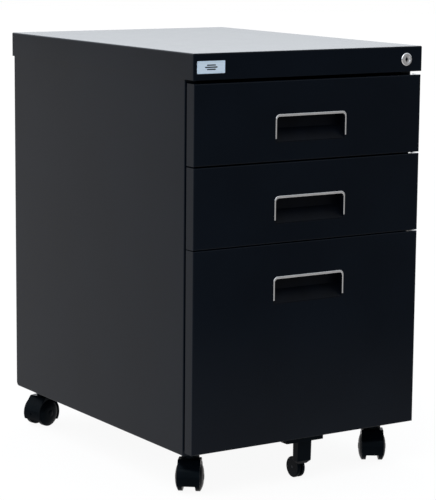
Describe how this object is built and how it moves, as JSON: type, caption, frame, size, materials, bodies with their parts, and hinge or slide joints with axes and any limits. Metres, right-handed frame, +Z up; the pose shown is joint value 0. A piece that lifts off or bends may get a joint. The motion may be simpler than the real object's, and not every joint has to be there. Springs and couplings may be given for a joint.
{
  "type": "mobile pedestal filing cabinet",
  "caption": "Black steel mobile pedestal with box drawers over a file drawer, recessed pulls with bright trim, a central lock and swivel castors.",
  "frame": {"origin": "on the floor, under the middle of the cabinet's overall box", "axes": "+Z up, +Y towards the back, +X to the right seen from the front"},
  "size_m": [0.3938, 0.5366, 0.626],
  "materials": {
    "black_steel": "satin powder coat",
    "zinc_steel": "bright zinc plate",
    "chrome": "polished",
    "badge_silver": "satin anodised",
    "black_plastic": "fine grain",
    "castor_nylon": "semi-gloss",
    "rubber": "matt"
  },
  "bodies": {
    "cabinet": {"top_cap": "black_steel", "side_panel_left": "black_steel", "side_panel_right": "black_steel", "back_panel": "black_steel", "base_pan": "black_steel", "front_rail": "black_steel", "front_uprights": "zinc_steel", "rear_uprights": "zinc_steel", "slide_outers_1": "zinc_steel", "slide_outers_2": "zinc_steel", "slide_outers_3": "zinc_steel", "slide_screws": "zinc_steel", "drawer_bumpers": "rubber", "badge_plate": "badge_silver", "lock_case": "chrome", "lock_nut": "zinc_steel", "lock_bar_guides": "zinc_steel", "castor_plates": "zinc_steel", "castor_stems": "black_steel", "castor_nuts": "zinc_steel"},
    "drawer_1": {"drawer_1_front": "black_steel", "drawer_1_inner_panel": "black_steel", "drawer_1_tray": "black_steel", "drawer_1_pull_cup": "black_plastic", "drawer_1_pull_trim": "chrome", "drawer_1_lock_catch": "zinc_steel", "slide_inners_1": "zinc_steel"},
    "slide_middle_1": {"slide_middles_1": "zinc_steel"},
    "drawer_2": {"drawer_2_front": "black_steel", "drawer_2_inner_panel": "black_steel", "drawer_2_tray": "black_steel", "drawer_2_pull_cup": "black_plastic", "drawer_2_pull_trim": "chrome", "drawer_2_lock_catch": "zinc_steel", "slide_inners_2": "zinc_steel"},
    "slide_middle_2": {"slide_middles_2": "zinc_steel"},
    "drawer_3": {"drawer_3_front": "black_steel", "drawer_3_inner_panel": "black_steel", "drawer_3_tray": "black_steel", "drawer_3_pull_cup": "black_plastic", "drawer_3_pull_trim": "chrome", "drawer_3_lock_catch": "zinc_steel", "slide_inners_3": "zinc_steel", "file_rails": "zinc_steel", "brace_leg": "castor_nylon", "brace_axle": "black_steel"},
    "slide_middle_3": {"slide_middles_3": "zinc_steel"},
    "brace_wheel": {"brace_wheels": "castor_nylon"},
    "lock_plug": {"lock_plug": "chrome", "lock_crank": "zinc_steel"},
    "lock_bar": {"lock_bar": "zinc_steel", "lock_hooks": "zinc_steel"},
    "castor_front_left": {"castor_front_left_hood": "castor_nylon"},
    "castor_front_left_wheel_pair": {"castor_front_left_wheels": "castor_nylon"},
    "castor_front_right": {"castor_front_right_hood": "castor_nylon"},
    "castor_front_right_wheel_pair": {"castor_front_right_wheels": "castor_nylon"},
    "castor_rear_left": {"castor_rear_left_hood": "castor_nylon"},
    "castor_rear_left_wheel_pair": {"castor_rear_left_wheels": "castor_nylon"},
    "castor_rear_right": {"castor_rear_right_hood": "castor_nylon"},
    "castor_rear_right_wheel_pair": {"castor_rear_right_wheels": "castor_nylon"}
  },
  "joints": [
    {"name": "drawer_1_slide", "type": "slide", "parent": "cabinet", "child": "drawer_1", "axis": [0, -1, 0], "range_m": [0, 0.45]},
    {"name": "slide_middle_1_travel", "type": "slide", "parent": "cabinet", "child": "slide_middle_1", "axis": [0, -1, 0], "range_m": [0, 0.225]},
    {"name": "drawer_2_slide", "type": "slide", "parent": "cabinet", "child": "drawer_2", "axis": [0, -1, 0], "range_m": [0, 0.45]},
    {"name": "slide_middle_2_travel", "type": "slide", "parent": "cabinet", "child": "slide_middle_2", "axis": [0, -1, 0], "range_m": [0, 0.225]},
    {"name": "drawer_3_slide", "type": "slide", "parent": "cabinet", "child": "drawer_3", "axis": [0, -1, 0], "range_m": [0, 0.45]},
    {"name": "slide_middle_3_travel", "type": "slide", "parent": "cabinet", "child": "slide_middle_3", "axis": [0, -1, 0], "range_m": [0, 0.225]},
    {"name": "brace_wheel_spin", "type": "hinge", "parent": "drawer_3", "child": "brace_wheel", "pos_m": [0, -0.2417, 0.0175], "axis": [1, 0, 0], "continuous": true},
    {"name": "lock_turn", "type": "hinge", "parent": "cabinet", "child": "lock_plug", "pos_m": [0.1675, -0.2667, 0.6073], "axis": [0, 1, 0], "range_deg": [0, 90]},
    {"name": "lock_bar_lift", "type": "slide", "parent": "cabinet", "child": "lock_bar", "axis": [0, 0, 1], "range_m": [0, 0.01414]},
    {"name": "castor_front_left_swivel", "type": "hinge", "parent": "cabinet", "child": "castor_front_left", "pos_m": [-0.162, -0.2107, 0.044], "axis": [0, 0, 1], "continuous": true},
    {"name": "castor_front_left_spin", "type": "hinge", "parent": "castor_front_left", "child": "castor_front_left_wheel_pair", "pos_m": [-0.16698, -0.21696, 0.021], "axis": [0.7826, -0.6225, 0], "continuous": true},
    {"name": "castor_front_right_swivel", "type": "hinge", "parent": "cabinet", "child": "castor_front_right", "pos_m": [0.162, -0.2107, 0.044], "axis": [0, 0, 1], "continuous": true},
    {"name": "castor_front_right_spin", "type": "hinge", "parent": "castor_front_right", "child": "castor_front_right_wheel_pair", "pos_m": [0.15764, -0.21741, 0.021], "axis": [0.8387, -0.5446, 0], "continuous": true},
    {"name": "castor_rear_left_swivel", "type": "hinge", "parent": "cabinet", "child": "castor_rear_left", "pos_m": [-0.162, 0.2293, 0.044], "axis": [0, 0, 1], "continuous": true},
    {"name": "castor_rear_left_spin", "type": "hinge", "parent": "castor_rear_left", "child": "castor_rear_left_wheel_pair", "pos_m": [-0.16961, 0.22683, 0.021], "axis": [0.309, -0.9511, 0], "continuous": true},
    {"name": "castor_rear_right_swivel", "type": "hinge", "parent": "cabinet", "child": "castor_rear_right", "pos_m": [0.162, 0.2293, 0.044], "axis": [0, 0, 1], "continuous": true},
    {"name": "castor_rear_right_spin", "type": "hinge", "parent": "castor_rear_right", "child": "castor_rear_right_wheel_pair", "pos_m": [0.15686, 0.23543, 0.021], "axis": [-0.766, -0.6428, 0], "continuous": true}
  ],
  "couplings": [
    {"joint": "slide_middle_1_travel", "follows": "drawer_1_slide", "ratio": 0.5},
    {"joint": "slide_middle_2_travel", "follows": "drawer_2_slide", "ratio": 0.5},
    {"joint": "slide_middle_3_travel", "follows": "drawer_3_slide", "ratio": 0.5},
    {"joint": "lock_turn", "follows": "lock_bar_lift", "rad_per_m": 111.07}
  ]
}
